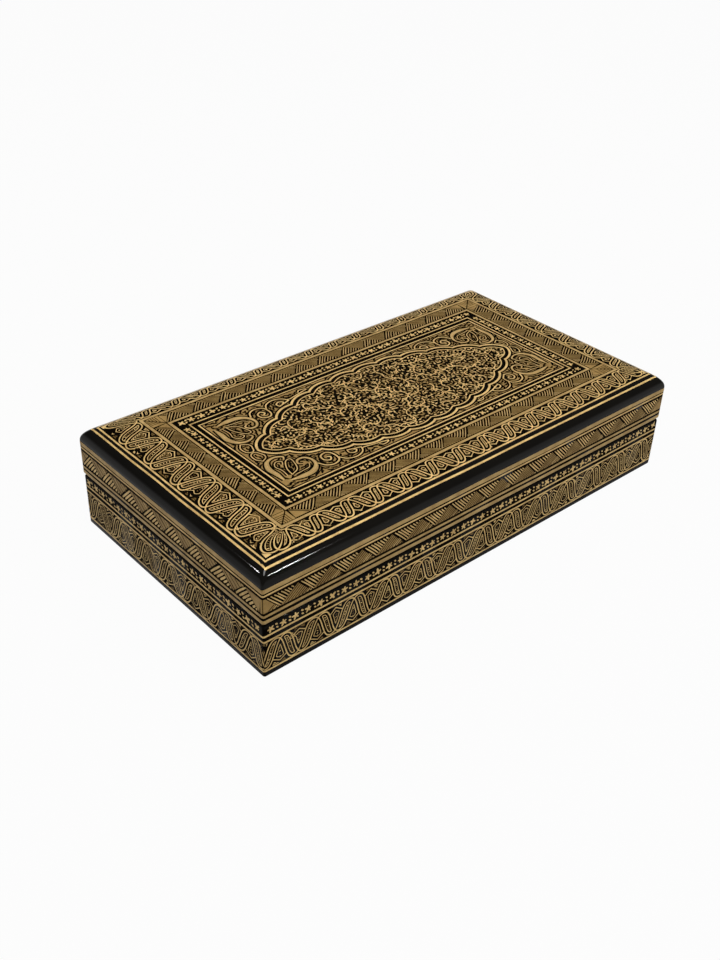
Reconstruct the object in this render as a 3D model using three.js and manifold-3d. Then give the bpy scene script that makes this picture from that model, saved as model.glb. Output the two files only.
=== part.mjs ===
// A flat papier-mache box with a lift-off lid, built of pasteboard glued at plain butt joints.
// Millimetres, +Z up, +X along the length. The origin is the centre of the underside.
import * as THREE from 'three';
import { mergeVertices } from 'three/addons/utils/BufferGeometryUtils.js';
import Module from 'manifold-3d';

const wasm = await Module();
wasm.setup();

// Outside of the closed box
const boxLength = 203;
const boxDepth = 110;
const boxHeight = 43.5;
const lidHeight = 21.8;

// Boards
const topBoard = 5;
const lidWall = 5;
const floorBoard = 4;
const collarBoard = 2.2;

// How the lid sits: its rim rests on the base's rim and its walls go down over the collar
const collarRise = 7;
const lidClearance = 0.3;
const baseSetback = 0.2;

// Edges: the top curves down over a broad quarter ellipse, the others have small quarter rounds
const topCurveWidth = 12;
const topCurveDrop = 7;
const lidLipRadius = 1.3;
const baseRimRadius = 0.9;
const footRadius = 0.6;
const collarLeadIn = 0.8;

// Upright arrises: nearly sharp on the walls, softer where the top curves in over the corner
const arrisRadius = 0.9;
const arrisSoftening = 0.25;
const collarArrisRadius = 0.6;

// Facets of each rounded edge
const topCurveSteps = 14;
const smallRoundSteps = 4;
const arrisSteps = 3;

// Sizes that follow from those
const baseHeight = boxHeight - lidHeight;
const baseLength = boxLength - 2 * baseSetback;
const baseDepth = boxDepth - 2 * baseSetback;
const baseWall = lidWall + lidClearance - baseSetback;
const collarHeight = baseHeight - floorBoard + collarRise;

// Finishes
const gildedLacquer = { color: 0x6b5734, roughness: 0.3, metalness: 0.35 };
const blackLacquer = { color: 0x0d0c0a, roughness: 0.22, metalness: 0 };

// A rectangle with rounded corners, as one ring of points in the plane at height z.
function ring(length, depth, radius, z) {
  const x = length / 2 - radius;
  const y = depth / 2 - radius;
  const right = Math.PI / 2;
  const path = new THREE.Path()
    .absarc(x, y, radius, 0, right)
    .absarc(-x, y, radius, right, 2 * right)
    .absarc(-x, -y, radius, 2 * right, 3 * right)
    .absarc(x, -y, radius, 3 * right, 4 * right);
  path.autoClose = false;
  return path.getPoints(arrisSteps).map((p) => new THREE.Vector3(p.x, p.y, z));
}

// An edge is a list of steps from the wall to the face: how far drawn in, and how far short of the face.
const squareEdge = [{ inset: 0, below: 0 }];

function quarterEllipse(width, drop, steps) {
  return Array.from({ length: steps + 1 }, (_, i) => {
    const angle = (i / steps) * (Math.PI / 2);
    return { inset: width * (1 - Math.cos(angle)), below: drop * (1 - Math.sin(angle)) };
  });
}

// The outside of a shell as one closed solid: rings from its foot to its top, with a curved edge at each end.
function shell({ length, depth, height, arris, softening, foot, top }) {
  const at = ({ inset, z }) =>
    ring(length - 2 * inset, depth - 2 * inset, arris + softening * inset, z);
  const footRings = foot.toReversed().map(({ inset, below }) => ({ inset, z: below }));
  const topRings = top.map(({ inset, below }) => ({ inset, z: height - below }));
  const rings = [...footRings, ...topRings].map(at);
  const count = rings[0].length;
  const points = rings.flat();
  const footCentre = points.push(new THREE.Vector3(0, 0, 0)) - 1;
  const topCentre = points.push(new THREE.Vector3(0, 0, height)) - 1;
  const faces = [];
  for (let i = 0; i < count; i++) {
    const next = (i + 1) % count;
    for (let r = 0; r + 1 < rings.length; r++) {
      const low = r * count;
      const high = low + count;
      faces.push(low + i, low + next, high + next, low + i, high + next, high + i);
    }
    const last = (rings.length - 1) * count;
    faces.push(footCentre, next, i, topCentre, last + i, last + next);
  }
  return solid(new THREE.BufferGeometry().setFromPoints(points).setIndex(faces));
}

// A three.js geometry as a solid that can be cut and joined.
function solid(geometry) {
  geometry.deleteAttribute('normal');
  geometry.deleteAttribute('uv');
  const merged = mergeVertices(geometry);
  const vertProperties = merged.attributes.position.array;
  const triVerts = new Uint32Array(merged.index.array);
  return new wasm.Manifold(new wasm.Mesh({ numProp: 3, vertProperties, triVerts }));
}

// The part of a shell that lies between two corners: one board, with the shell's own rounded edges on it.
function board(outside, low, high) {
  const size = high.map((value, axis) => value - low[axis]);
  const block = new THREE.BoxGeometry(...size);
  block.translate(...low.map((value, axis) => value + size[axis] / 2));
  const { vertProperties, triVerts } = outside.intersect(solid(block)).getMesh();
  const geometry = new THREE.BufferGeometry();
  geometry.setAttribute('position', new THREE.BufferAttribute(new Float32Array(vertProperties), 3));
  geometry.setIndex(new THREE.BufferAttribute(new Uint32Array(triVerts), 1));
  return geometry.toNonIndexed();
}

function piece(name, geometry, finish) {
  geometry.computeVertexNormals();
  const mesh = new THREE.Mesh(geometry, new THREE.MeshStandardMaterial(finish));
  mesh.name = name;
  return mesh;
}

// Four boards round a rectangle: front and back run the whole length, left and right fit between them.
function frame(prefix, suffix, outside, { length, depth, thickness, from, to, finish }) {
  const x = length / 2;
  const y = depth / 2;
  const across = x - thickness;
  const along = y - thickness;
  const sides = {
    front: [[-x, -y, from], [x, -along, to]],
    back: [[-x, along, from], [x, y, to]],
    left: [[-x, -along, from], [-across, along, to]],
    right: [[across, -along, from], [x, along, to]],
  };
  return Object.entries(sides).map(([side, [low, high]]) =>
    piece(`${prefix}${side}${suffix}`, board(outside, low, high), finish));
}

// Base: a floor board with a rounded foot, four walls on it, and the collar strips inside them
const baseShell = shell({
  length: baseLength,
  depth: baseDepth,
  height: baseHeight,
  arris: arrisRadius,
  softening: 0,
  foot: quarterEllipse(footRadius, footRadius, smallRoundSteps),
  top: quarterEllipse(baseRimRadius, baseRimRadius, smallRoundSteps),
});
const floorLow = [-baseLength / 2, -baseDepth / 2, 0];
const floorHigh = [baseLength / 2, baseDepth / 2, floorBoard];
const base = new THREE.Group();
base.add(piece('base_floor', board(baseShell, floorLow, floorHigh), blackLacquer));
base.add(...frame('base_', '_wall', baseShell, {
  length: baseLength,
  depth: baseDepth,
  thickness: baseWall,
  from: floorBoard,
  to: baseHeight,
  finish: gildedLacquer,
}));

// Collar: thin strips that stand on the floor board against the walls, rounded where the lid slips on
const collarLength = baseLength - 2 * baseWall;
const collarDepth = baseDepth - 2 * baseWall;
const collarShell = shell({
  length: collarLength,
  depth: collarDepth,
  height: collarHeight,
  arris: collarArrisRadius,
  softening: 0,
  foot: squareEdge,
  top: quarterEllipse(collarLeadIn, collarLeadIn, smallRoundSteps),
});
const collar = new THREE.Group();
collar.position.z = floorBoard;
collar.add(...frame('collar_', '', collarShell, {
  length: collarLength,
  depth: collarDepth,
  thickness: collarBoard,
  from: 0,
  to: collarHeight,
  finish: blackLacquer,
}));
base.add(collar);

// Lid: four walls under a top board whose broad curve runs down on to them
const lidShell = shell({
  length: boxLength,
  depth: boxDepth,
  height: lidHeight,
  arris: arrisRadius,
  softening: arrisSoftening,
  foot: quarterEllipse(lidLipRadius, lidLipRadius, smallRoundSteps),
  top: quarterEllipse(topCurveWidth, topCurveDrop, topCurveSteps),
});
const topLow = [-boxLength / 2, -boxDepth / 2, lidHeight - topBoard];
const topHigh = [boxLength / 2, boxDepth / 2, lidHeight];
const lid = new THREE.Group();
lid.position.z = baseHeight;
lid.add(piece('lid_top', board(lidShell, topLow, topHigh), gildedLacquer));
lid.add(...frame('lid_', '_wall', lidShell, {
  length: boxLength,
  depth: boxDepth,
  thickness: lidWall,
  from: 0,
  to: lidHeight - topBoard,
  finish: gildedLacquer,
}));

const box = new THREE.Group();
box.add(base, lid);

export default box;
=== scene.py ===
# A flat papier-mache box with a lift-off lid: black lacquer, painted all over in gold with a fine brush.
# Sizes are in millimetres until a mesh is made. The box stands on the table with its front towards -Y.
import math
import random

import bpy
import numpy as np
from mathutils import Matrix, Vector


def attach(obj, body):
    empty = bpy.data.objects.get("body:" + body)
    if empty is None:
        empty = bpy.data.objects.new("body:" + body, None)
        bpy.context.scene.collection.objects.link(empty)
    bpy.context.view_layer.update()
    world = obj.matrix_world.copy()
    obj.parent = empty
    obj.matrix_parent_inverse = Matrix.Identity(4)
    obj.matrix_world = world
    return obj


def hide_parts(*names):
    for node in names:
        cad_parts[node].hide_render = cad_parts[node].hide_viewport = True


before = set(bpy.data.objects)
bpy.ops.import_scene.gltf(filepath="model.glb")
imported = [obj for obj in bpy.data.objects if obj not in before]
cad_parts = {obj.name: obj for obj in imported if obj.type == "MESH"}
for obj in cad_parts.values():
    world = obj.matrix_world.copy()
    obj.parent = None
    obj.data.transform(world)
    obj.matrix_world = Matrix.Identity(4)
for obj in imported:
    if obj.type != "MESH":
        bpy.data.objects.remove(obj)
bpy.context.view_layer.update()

# Camera
# The box was photographed from arm's length, above its front left corner, with the camera
# tipped about two degrees to one side.
scene = bpy.context.scene
scene.view_settings.view_transform = "Standard"
MM = 0.001
CAMERA_AT = Vector((-257.49, -268.57, 256.06))
YAW, PITCH, ROLL = math.radians(42.310), math.radians(34.064), math.radians(2.073)
FOCAL_PIXELS, LONG_SIDE_PIXELS, SENSOR = 1126.2, 960, 36
ahead = Vector((math.sin(YAW) * math.cos(PITCH), math.cos(YAW) * math.cos(PITCH), -math.sin(PITCH)))
level = Vector((math.cos(YAW), -math.sin(YAW), 0))
above = level.cross(ahead)
across_view = math.cos(ROLL) * level + math.sin(ROLL) * above
up_view = -math.sin(ROLL) * level + math.cos(ROLL) * above
camera = bpy.data.objects.new("camera", bpy.data.cameras.new("camera"))
scene.collection.objects.link(camera)
camera.data.sensor_width = SENSOR
camera.data.lens = FOCAL_PIXELS * SENSOR / LONG_SIDE_PIXELS
camera.data.clip_start = 0.01
turned = Matrix((across_view, up_view, -ahead)).transposed().to_4x4()
camera.matrix_world = Matrix.Translation(CAMERA_AT * MM) @ turned
scene.camera = camera


# Table and light
# A white table and white walls low down, darker above, so that the lacquer stays black on top and
# its sides pick up the table. One soft lamp overhead, and three small ones for the glints on the edges.
class Wire:
    """One output of a shader tree. Arithmetic on wires adds Math nodes."""

    def __init__(self, tree, socket=None):
        self.tree = tree
        self.socket = socket

    def node(self, kind, settings, inputs, output=0):
        made = self.tree.nodes.new(kind)
        for name, value in settings.items():
            setattr(made, name, value)
        for name, value in inputs.items():
            if isinstance(value, Wire):
                self.tree.links.new(value.socket, made.inputs[name])
            else:
                made.inputs[name].default_value = value
        return Wire(self.tree, made.outputs[output] if made.outputs else None)

    def math(self, operation, first, second):
        return self.node("ShaderNodeMath", {"operation": operation}, {0: first, 1: second})

    def __add__(self, other):
        return self.math("ADD", self, other)

    def __radd__(self, other):
        return self.math("ADD", other, self)

    def __sub__(self, other):
        return self.math("SUBTRACT", self, other)

    def __rsub__(self, other):
        return self.math("SUBTRACT", other, self)

    def __mul__(self, other):
        return self.math("MULTIPLY", self, other)

    def __rmul__(self, other):
        return self.math("MULTIPLY", other, self)


def new_finish(name):
    made = bpy.data.materials.new(name)
    made.use_nodes = True
    made.node_tree.nodes.clear()
    return made, Wire(made.node_tree)


def rays(wire):
    """Wires that are 1 where the camera looks straight, by reflection, or through something clear."""
    kinds = ("Camera", "Glossy", "Transmission")
    return [wire.node("ShaderNodeLightPath", {}, {}, f"Is {kind} Ray") for kind in kinds]


TABLE_RADIUS = 3.0
TABLE_COLOUR = (0.34, 0.34, 0.335, 1)
TABLE_SHOWN_WHITE = 0.96
table_finish, wire = new_finish("white_table")
seen, mirrored, passed = rays(wire)
plain = wire.node("ShaderNodeBsdfDiffuse", {}, {"Color": TABLE_COLOUR})
white = wire.node("ShaderNodeEmission", {}, {"Color": (1, 1, 1, 1), "Strength": 1.0})
shown = (seen + passed + mirrored) * TABLE_SHOWN_WHITE
wire.node("ShaderNodeOutputMaterial", {}, {
    "Surface": wire.node("ShaderNodeMixShader", {}, {0: shown, 1: plain, 2: white}),
})
rim = [Vector((math.cos(a), math.sin(a), 0)) * TABLE_RADIUS for a in np.linspace(0, math.tau, 65)[:-1]]
table_mesh = bpy.data.meshes.new("table")
table_mesh.from_pydata(rim, [], [range(len(rim))])
table_mesh.materials.append(table_finish)
table = bpy.data.objects.new("table", table_mesh)
scene.collection.objects.link(table)

WHITE_BELOW, DARK_ABOVE = 0.10, 0.36
WALL_SHOWN_WHITE, WALL_DARK, WALL_LIGHT = 0.97, 0.05, 0.18
world = bpy.data.worlds.new("studio")
world.use_nodes = True
world.node_tree.nodes.clear()
scene.world = world
wire = Wire(world.node_tree)
seen, mirrored, passed = rays(wire)
direction = wire.node("ShaderNodeTexCoord", {}, {}, "Generated")
height = wire.node("ShaderNodeSeparateXYZ", {}, {0: direction}, "Z")
walls = wire.node("ShaderNodeMapRange", {"interpolation_type": "SMOOTHSTEP"}, {
    "Value": height, "From Min": WHITE_BELOW, "From Max": DARK_ABOVE, "To Min": 1.0, "To Max": WALL_DARK,
})
bright = seen + passed
strength = bright * WALL_SHOWN_WHITE + (1 - bright) * (mirrored * walls + (1 - mirrored) * WALL_LIGHT)
wire.node("ShaderNodeOutputWorld", {}, {
    "Surface": wire.node("ShaderNodeBackground", {}, {"Color": (1, 1, 1, 1), "Strength": strength}),
})


def lamp(name, place, size, power):
    made = bpy.data.objects.new(name, bpy.data.lights.new(name, "AREA"))
    made.data.shape = "RECTANGLE"
    made.data.size, made.data.size_y = size
    made.data.energy = power
    made.location = place
    made.rotation_euler = (-Vector(place)).to_track_quat("-Z", "Y").to_euler()
    scene.collection.objects.link(made)


lamp("overhead_lamp", (-0.16, -0.20, 1.35), (0.42, 0.42), 15.2)
lamp("edge_glint_lamp", (0.437, -0.79, 0.66), (0.06, 0.006), 2.4)
lamp("spot_glint_lamp", (0.42, -0.426, 0.938), (0.012, 0.012), 0.7)
lamp("corner_glint_lamp", (-0.738, 0.641, 0.609), (0.012, 0.012), 0.5)

# Base
# The tray of the box: a floor board with a rounded foot and four walls, glued up from pasteboard,
# gessoed over and lacquered black inside and out. Its rim is rounded where the lid meets it.
LENGTH, DEPTH, HEIGHT, SEAM = 203.0, 110.0, 43.5, 21.7
BASE_SETBACK, PAINT_DEPTH = 0.2, 0.06
BASE_X = LENGTH / 2 - BASE_SETBACK - PAINT_DEPTH
BASE_Y = DEPTH / 2 - BASE_SETBACK - PAINT_DEPTH
FLOOR_TOP, FLAT_MARGIN = 4.0, 3
INNER_X, INNER_Y = 96.2, 49.7
FOOT_RADIUS, RIM_RADIUS, INNER_RADIUS = 0.4, 0.9, 0.3
ARRIS, ARRIS_STEPS, BESIDE_ARRIS = 0.8, 6, 0.6


CORNERS = ((1, 1), (-1, 1), (-1, -1), (1, -1))


def quarter(steps):
    return np.linspace(0, math.pi / 2, steps + 1)


def arc_edge(radius, steps):
    """Insets and drops of a quarter round, from the wall to the face."""
    a = quarter(steps)
    return radius * (1 - np.cos(a)), radius * (1 - np.sin(a))


def ring(half_x, half_y, radius, z):
    """A rectangle with rounded corners, as points at height z, with one more just beside each round."""
    points = []
    for turn, (sx, sy) in enumerate(CORNERS):
        angles = quarter(ARRIS_STEPS) + turn * math.pi / 2
        run_in = [(angles[0], -BESIDE_ARRIS)] + [(a, 0.0) for a in angles] + [(angles[-1], BESIDE_ARRIS)]
        for a, past in run_in:
            x = sx * (half_x - radius) + radius * math.cos(a) - past * math.sin(a)
            y = sy * (half_y - radius) + radius * math.sin(a) + past * math.cos(a)
            points.append((x, y, z))
    return points


def loft(rings):
    """Faces between rings of equal count, closed at both ends."""
    count = len(rings[0])
    faces = [list(range(count))[::-1], [(len(rings) - 1) * count + i for i in range(count)]]
    for r in range(len(rings) - 1):
        for i in range(count):
            j = (i + 1) % count
            low, high = r * count, (r + 1) * count
            faces.append((low + i, low + j, high + j, high + i))
    return [p for each in rings for p in each], faces


def new_piece(name, points, faces, finish, body, slot, sharp=None):
    mesh = bpy.data.meshes.new(name)
    mesh.from_pydata([tuple(c * MM for c in p) for p in points], [], [list(f) for f in faces])
    mesh.materials.append(finish)
    mesh.shade_smooth()
    if sharp:
        mesh.set_sharp_from_angle(angle=math.radians(sharp))
    mesh.update()
    made = bpy.data.objects.new(name, mesh)
    scene.collection.objects.link(made)
    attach(made, body)
    return made


def noise(wire, scale, detail, roughness=0.5):
    """An uneven pattern that stays with the piece, from 0 to 1."""
    spot = wire.node("ShaderNodeTexCoord", {}, {}, "Object")
    return wire.node("ShaderNodeTexNoise", {}, {
        "Vector": spot, "Scale": scale, "Detail": detail, "Roughness": roughness,
    })


def tint(wire, amount, dark, light):
    return wire.node("ShaderNodeMix", {"data_type": "RGBA"}, {0: amount, 6: (*dark, 1), 7: (*light, 1)}, 2)


def bump(wire, height, strength, depth):
    return wire.node("ShaderNodeBump", {}, {"Height": height, "Strength": strength, "Distance": depth})


def shade(wire, sockets):
    surface = wire.node("ShaderNodeBsdfPrincipled", {}, sockets)
    wire.node("ShaderNodeOutputMaterial", {}, {"Surface": surface})


# Black lacquer: many thin coats, rubbed down by hand, so the gloss ripples a little and dulls in patches.
def lacquer_finish(name, gloss):
    made, wire = new_finish(name)
    ripple, patches, specks = noise(wire, 90, 2), noise(wire, 40, 3), noise(wire, 1400, 1)
    shade(wire, {
        "Base Color": tint(wire, patches, (0.0035, 0.0033, 0.003), (0.009, 0.008, 0.0065)),
        "Roughness": patches * 0.06 + 0.03, "Specular IOR Level": gloss, "IOR": 1.5,
        "Normal": bump(wire, ripple + specks * 0.04, 0.35, 0.00006),
    })
    return made


foot_in, foot_up = arc_edge(FOOT_RADIUS, 5)
rim_in, rim_down = arc_edge(RIM_RADIUS, 6)
base_profile = np.concatenate([foot_up[::-1], SEAM - rim_down]), np.concatenate([foot_in[::-1], rim_in])
base_rings = [ring(BASE_X - i, BASE_Y - i, ARRIS, z) for z, i in zip(*base_profile)]
for z in (SEAM, FLOOR_TOP):
    base_rings.append(ring(INNER_X, INNER_Y, INNER_RADIUS, z))
base_rings.append(ring(INNER_X - FLAT_MARGIN, INNER_Y - FLAT_MARGIN, INNER_RADIUS, FLOOR_TOP))
base_black = lacquer_finish("base_black", 0.02)
base = new_piece("base_lacquer", *loft(base_rings), base_black, "base", "black_lacquer", sharp=40)
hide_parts("base_floor", "base_front_wall", "base_back_wall", "base_left_wall", "base_right_wall")

# Collar
# Four thin strips of board glued inside the base's walls and standing above its rim, which the lid
# slips down over. They are lacquered black like the inside of the box, with a duller, rubbed gloss.
inside_lacquer, wire = new_finish("inside_lacquer")
rubbed, brushed = noise(wire, 160, 4), noise(wire, 700, 2)
shade(wire, {
    "Base Color": tint(wire, rubbed, (0.006, 0.0055, 0.005), (0.017, 0.015, 0.012)),
    "Roughness": rubbed * 0.25 + 0.18, "IOR": 1.5, "Normal": bump(wire, brushed, 0.25, 0.0002),
})
for name in ("collar_front", "collar_back", "collar_left", "collar_right"):
    for material_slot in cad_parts[name].material_slots:
        material_slot.material = inside_lacquer

# Gold painting on the base
# Shell gold laid on the lacquer with a fine brush and varnished over: from the rim down, a row of
# small flowers, two lines, a broad band of two ribbons that cross round leaves, and a line at the foot.
hand = random.Random(7)
vary = hand.uniform


# Gold paint: ground bronze in gum, brighter where the brush left more of it, under the same varnish.
def gold_finish(name, dull, bright, metal, rough):
    made, wire = new_finish(name)
    load, grain = noise(wire, 260, 4, 0.6), noise(wire, 2600, 2)
    amount = wire.node("ShaderNodeMapRange", {}, {
        "Value": load * 0.7 + grain * 0.3, "From Min": 0.36, "From Max": 0.64,
    })
    shade(wire, {
        "Base Color": tint(wire, amount, dull, bright), "Metallic": metal,
        "Roughness": rough - amount * 0.10, "Normal": bump(wire, grain, 0.2, 0.0001),
        "Coat Weight": 0.02, "Coat Roughness": 0.10, "Coat IOR": 1.4, "IOR": 1.4,
        "Specular IOR Level": 0.06,
    })
    return made


bright_gold = gold_finish("bright_gold", (0.50, 0.325, 0.122), (0.84, 0.590, 0.240), 0.20, 0.45)
stripe_gold = gold_finish("stripe_gold", (0.36, 0.228, 0.082), (0.56, 0.382, 0.152), 0.20, 0.45)
field_gold = gold_finish("field_gold", (0.25, 0.150, 0.048), (0.42, 0.270, 0.092), 0.20, 0.46)
dull_gold = gold_finish("dull_gold", (0.11, 0.064, 0.018), (0.22, 0.134, 0.042), 0.18, 0.50)

# Black put back over the gold with a fine brush: lamp black in gum, duller than the lacquer round it.
black_ink, wire = new_finish("black_ink")
thin = noise(wire, 900, 3)
shade(wire, {
    "Base Color": tint(wire, thin, (0.001, 0.0007, 0.0004), (0.005, 0.0034, 0.0018)),
    "Roughness": thin * 0.2 + 0.4, "Normal": bump(wire, thin, 0.2, 0.0001), "IOR": 1.4,
    "Specular IOR Level": 0.004,
})


def pairs(x, y):
    return np.stack([x, y], 1)


def unit(steps):
    return steps / np.maximum(np.hypot(*steps.T), 1e-9)[:, None]


MITRE_LIMIT, THIN_EDGE, LEAST_AREA = 0.6, 0.45, 1e-4


class Paint:
    """Brush work in one colour. Lift is how far it stands off the lacquer: later layers stand higher."""

    def __init__(self, name, finish, slot="gilded_lacquer"):
        self.name, self.finish, self.slot = name, finish, slot
        self.points, self.quads, self.tris = [], [], []
        self.count = 0

    def stroke(self, place, path, width, lift, closed=False, across=3):
        """A line of the brush. Width is one number or one for each point of the path."""
        path = np.asarray(path, float)
        if closed:
            step = np.roll(path, -1, 0) - path
            before = np.roll(step, 1, 0)
        else:
            step = np.diff(path, axis=0)
            before = np.vstack([step[:1], step])
            step = np.vstack([step, step[-1:]])
        step = unit(step)
        mean = unit(step + unit(before))
        stretch = 1 / np.maximum((mean * step).sum(1), MITRE_LIMIT)
        side = pairs(-mean[:, 1], mean[:, 0]) * (stretch * np.asarray(width) / 2)[:, None]
        self.weave(place, [path + side * k for k in np.linspace(-1, 1, across)], lift, closed)

    def dash(self, place, start, end, width, lift, points=3):
        """A short straight line."""
        self.stroke(place, np.linspace(start, end, points), width, lift, across=2)

    def weave(self, place, lines, lift, closed=False):
        """A strip through several lines of equal count, thickest in the middle."""
        count, rows = len(lines[0]), len(lines)
        for k, line in enumerate(lines):
            edge = k in (0, rows - 1) and rows > 2
            self.points.append(place(line[:, 0], line[:, 1], lift * (THIN_EDGE if edge else 1)))
        i = np.arange(count if closed else count - 1)
        j = (i + 1) % count
        for k in range(rows - 1):
            a, b = self.count + k * count, self.count + (k + 1) * count
            self.quads.append(np.stack([a + i, a + j, b + j, b + i], 1))
        self.count += count * rows

    def fill(self, place, outline, lift):
        """A shape filled from its middle."""
        both = np.vstack([outline, outline.mean(0)])
        self.points.append(place(both[:, 0], both[:, 1], lift))
        i = np.arange(len(outline))
        self.tris.append(np.stack([i, (i + 1) % len(i), np.full_like(i, len(i))], 1) + self.count)
        self.count += len(both)

    def piece(self, body, mapped):
        """All of it as one mesh, its faces turned outwards and unrolled for a texture."""
        points = np.vstack(self.points)
        outward = mapped(points)[1]
        faces = []
        for store in (self.quads, self.tris):
            if not store:
                continue
            group = np.vstack(store)
            a, b, c = (points[group[:, k]] for k in (0, 1, 2))
            wrong = (np.cross(b - a, c - b) * outward[group[:, 0]]).sum(1) < 0
            group[wrong] = group[wrong][:, ::-1]
            corner = points[group]
            crossed = np.cross(corner[:, 2] - corner[:, 0], corner[:, -1] - corner[:, 1])
            faces += group[np.linalg.norm(crossed, axis=1) > LEAST_AREA].tolist()
        made = new_piece(self.name, points.tolist(), faces, self.finish, body, self.slot)
        layer = made.data.uv_layers.new(name="OFBake")
        corners = np.empty(len(made.data.loops), np.int32)
        made.data.loops.foreach_get("vertex_index", corners)
        layer.uv.foreach_set("vector", mapped(points)[0][corners].astype(np.float32).ravel())


def resample(path, step):
    """The same path with points about one step apart."""
    run = np.concatenate([[0], np.cumsum(np.hypot(*np.diff(path, axis=0).T))])
    at = np.linspace(0, run[-1], max(3, int(run[-1] / step) + 1))
    return pairs(*(np.interp(at, run, path[:, k]) for k in (0, 1)))


def wander(reach, amount):
    """An unsteady hand: a slow random drift along a line, as a function of the distance."""
    waves = []
    for _ in range(4):
        waves.append((vary(0.6, 1.6) * reach, vary(0, math.tau), vary(0.5, 1)))
    return lambda s: amount * sum(a * np.sin(np.asarray(s) / r * math.tau + p) for r, p, a in waves) / 2


def on_side(turn, half_x, half_y, profile, softening):
    """Places marks on a side face, from s along it and the height z. Turn 0 is the front, 1 the right."""
    along = ((1, 0), (0, 1), (-1, 0), (0, -1))[turn]
    out = ((0, -1), (1, 0), (0, 1), (-1, 0))[turn]
    reach, away = (half_x, half_y) if turn % 2 == 0 else (half_y, half_x)

    def place(s, z, lift):
        drawn_in = np.interp(z, *profile)
        radius = ARRIS + softening * drawn_in
        s = s * (reach - drawn_in) / reach
        flat = reach - drawn_in - radius
        angle = np.maximum(np.abs(s) - flat, 0) / radius
        a = np.sign(s) * (np.minimum(np.abs(s), flat) + (radius + lift) * np.sin(angle))
        o = away - drawn_in - radius + (radius + lift) * np.cos(angle)
        return np.stack([a * along[0] + o * out[0], a * along[1] + o * out[1], z + 0 * a], 1)

    return place


def side_map(low, high):
    """Unrolls the four side faces for a texture, and says which way each point faces."""
    def mapped(points):
        x, y, z = points.T
        on_end = np.abs(x) - LENGTH / 2 > np.abs(y) - DEPTH / 2
        outward = np.stack([np.where(on_end, np.sign(x), 0), np.where(on_end, 0, np.sign(y)), 0 * z], 1)
        run = np.select(
            [~on_end & (y < 0), on_end & (x > 0), ~on_end],
            [x + LENGTH / 2, LENGTH + y + DEPTH / 2, LENGTH + DEPTH + LENGTH / 2 - x],
            2 * LENGTH + DEPTH + DEPTH / 2 - y,
        )
        return pairs(run / (2 * (LENGTH + DEPTH)), (z - low) / (high - low)), outward

    return mapped


def rule(paint, place, start, end, height, width, lift, across=3):
    """A straight painted line along a face, with closer points where it nears the arrises."""
    s = np.linspace(start, end, int((end - start) / 1.6) + 2)
    near = np.array([0.14, 0.28, 0.42, 0.56, 0.75, 1.0])
    s = np.sort(np.concatenate([s, start + near, end - near]))
    drift, swell = wander(60, 0.10), wander(25, 0.07)
    path = pairs(s, height + drift(s))
    paint.stroke(place, path, width * (1 + swell(s)), lift, across=across)


def flower_row(paint, place, start, end, middle, height, pitch):
    """Small flowers of four or five petals with a pair of dots between each and the next."""
    count = round((end - start) / pitch)
    pitch = (end - start) / count
    turn = np.linspace(0, math.tau, 31)[:-1]
    cos, sin = np.cos(turn), np.sin(turn)
    dot_x, dot_y = cos[::5], sin[::5]
    for k in range(count):
        s = start + (k + 0.5) * pitch + vary(-0.2, 0.2)
        t = middle + vary(-0.10, 0.10)
        petals = hand.choice((4, 5, 5))
        size = height * vary(0.47, 0.54)
        reach = size * (0.71 + 0.31 * np.cos(petals * (turn + vary(0, math.tau))))
        reach = reach * (1 + 0.18 * np.cos(turn + vary(0, math.tau)))
        paint.fill(place, pairs(s + reach * cos, t + reach * sin), 0.03)
        for sign in (-1, 1):
            x = s + pitch / 2 - sign * height * vary(-0.02, 0.10)
            y = middle + sign * height * vary(0.22, 0.28)
            r = height * vary(0.13, 0.16)
            if x < end - 0.4:
                paint.fill(place, pairs(x + 1.35 * r * dot_x, y + r * dot_y - 0.5 * r * dot_x), 0.03)


def inset(outline, distance):
    """A closed outline drawn in by a distance, without the parts where it would cross itself."""
    after = np.roll(outline, -1, 0)
    turning = (outline[:, 0] * after[:, 1] - after[:, 0] * outline[:, 1]).sum()
    along = unit(after - np.roll(outline, 1, 0)) * (1 if turning > 0 else -1)
    moved = outline + distance * pairs(-along[:, 1], along[:, 0])
    gaps = np.hypot(*(moved[:, None] - outline[None]).transpose(2, 0, 1)).min(1)
    return moved[gaps > distance * 0.97]


def cut_across(outline, level):
    """The leftmost and rightmost points of a closed outline at one level, or nothing."""
    nxt = np.roll(outline, -1, 0)
    hit = (outline[:, 1] > level) != (nxt[:, 1] > level)
    if not hit.any():
        return None
    a, b = outline[hit], nxt[hit]
    x = a[:, 0] + (level - a[:, 1]) / (b[:, 1] - a[:, 1]) * (b[:, 0] - a[:, 0])
    return x.min(), x.max()


# Across the leaf bands: a ribbon, the black beside it, the outline of a leaf and the black inside that
RIBBON, RIBBON_EDGE, LEAF_LINE, LEAF_EDGE = 0.47, 0.80, 0.27, 0.54
SQUARENESS, SLANT = 1.3, 0.15


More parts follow.
